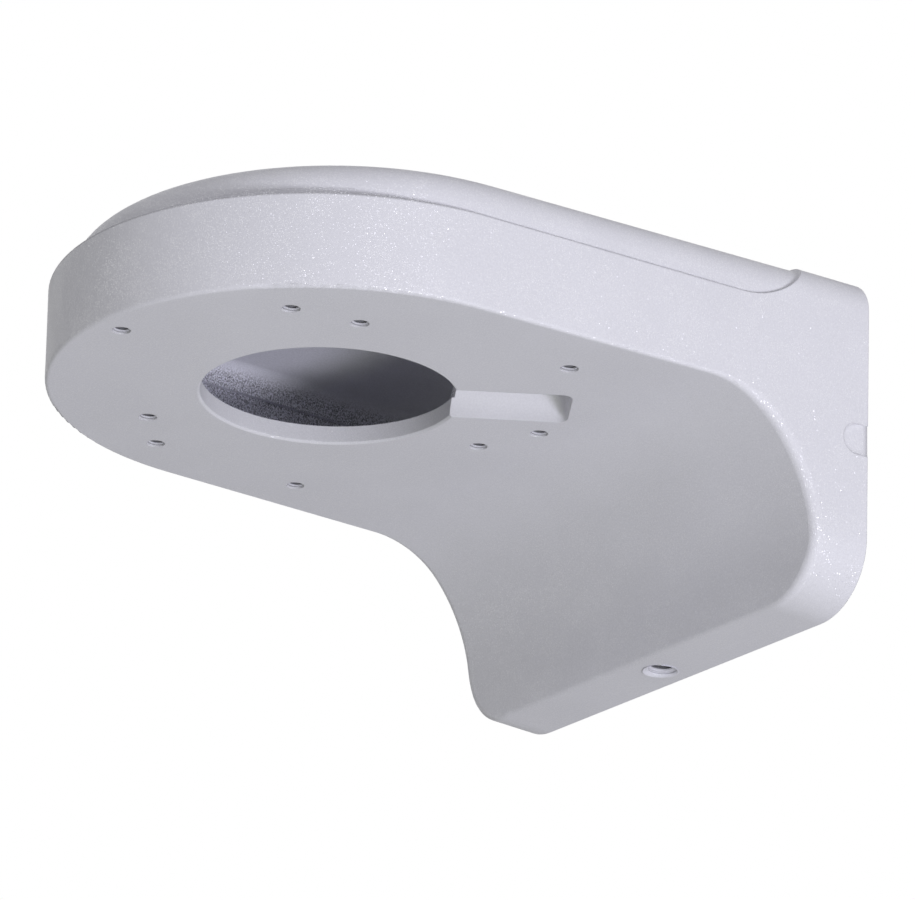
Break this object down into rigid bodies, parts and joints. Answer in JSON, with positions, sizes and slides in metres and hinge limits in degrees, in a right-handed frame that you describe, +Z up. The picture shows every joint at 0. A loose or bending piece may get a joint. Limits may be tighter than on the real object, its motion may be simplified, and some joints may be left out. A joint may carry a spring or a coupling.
{
  "type": "camera wall bracket",
  "caption": "Die-cast wall bracket whose round-nosed hollow arm carries a small dome camera underneath and leads its cable through to the wall.",
  "frame": {"origin": "centre of the four wall holes, on the wall plane", "axes": "+Y into the wall, so the arm reaches out along -Y; +Z up; +X to the right for someone facing the wall"},
  "size_m": [0.1318, 0.1592, 0.0764],
  "materials": {
    "white_powder_coat": "satin powder coat with a fine sand texture",
    "galvanised_steel": "galvanised, faint spangle",
    "plated_screw_steel": "zinc plated, satin"
  },
  "bodies": {
    "root": {"bracket_body": "white_powder_coat", "wall_plate": "galvanised_steel", "lock_screw": "plated_screw_steel"}
  },
  "joints": []
}
